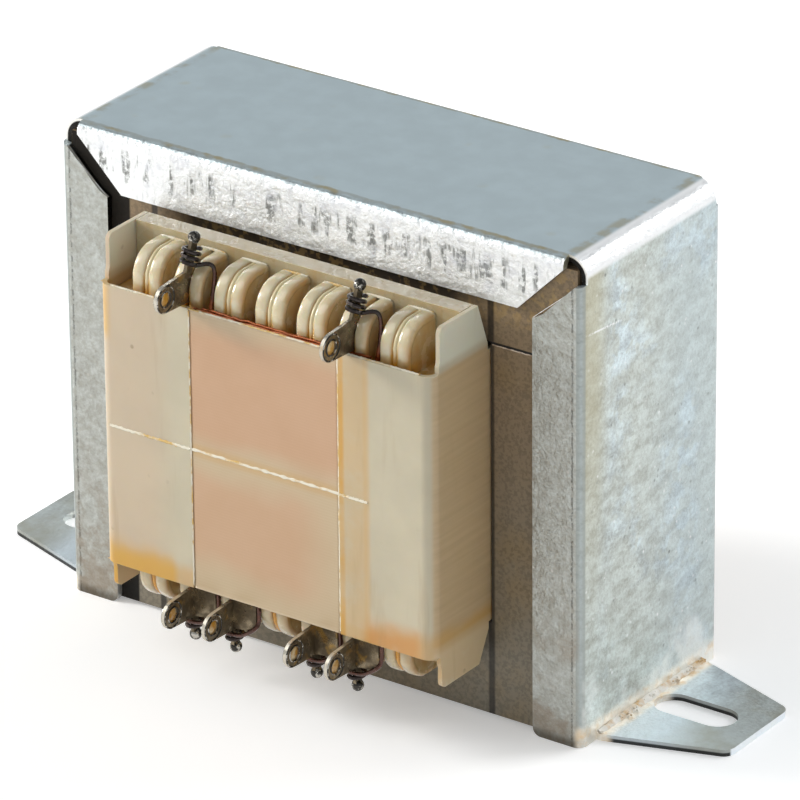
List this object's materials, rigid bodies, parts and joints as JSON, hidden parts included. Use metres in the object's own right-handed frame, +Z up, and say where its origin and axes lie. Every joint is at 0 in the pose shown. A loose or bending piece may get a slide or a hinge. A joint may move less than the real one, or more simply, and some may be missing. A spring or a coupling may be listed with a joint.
{
  "type": "chassis mounting transformer",
  "caption": "Laminated core transformer in a folded galvanised clamp frame with slotted feet, a split moulded bobbin, push-fit covers and solder tags.",
  "frame": {"origin": "centre of the two-slot pattern, on the underside of the feet", "axes": "+X along the row of the two feet, +Y away from the solder tags, +Z up from the mounting plane"},
  "size_m": [0.0962, 0.0507, 0.057],
  "materials": {
    "galvanised_sheet": "galvanised",
    "electrical_steel": "varnished",
    "bobbin_nylon": "moulded, varnished",
    "cover_nylon": "moulded",
    "copper_wire": "enamelled copper",
    "wrap_film": "film tape",
    "tinned_tag": "tinned",
    "enamelled_lead": "enamelled copper",
    "solder": "tin solder"
  },
  "bodies": {
    "root": {"clamp_frame": "galvanised_sheet", "e_laminations": "electrical_steel", "i_laminations": "electrical_steel", "bobbin": "bobbin_nylon", "left_cover": "cover_nylon", "right_cover": "cover_nylon", "primary_winding": "copper_wire", "primary_wrap": "wrap_film", "secondary_winding": "copper_wire", "secondary_wrap": "wrap_film", "tag_upper_1": "tinned_tag", "tag_upper_2": "tinned_tag", "tag_lower_1": "tinned_tag", "tag_lower_2": "tinned_tag", "tag_lower_3": "tinned_tag", "tag_lower_4": "tinned_tag", "lead_upper_1": "enamelled_lead", "lead_upper_2": "enamelled_lead", "lead_lower_1": "enamelled_lead", "lead_lower_2": "enamelled_lead", "lead_lower_3": "enamelled_lead", "lead_lower_4": "enamelled_lead", "solder_upper_1": "solder", "solder_upper_2": "solder", "solder_lower_1": "solder", "solder_lower_2": "solder", "solder_lower_3": "solder", "solder_lower_4": "solder"}
  },
  "joints": []
}
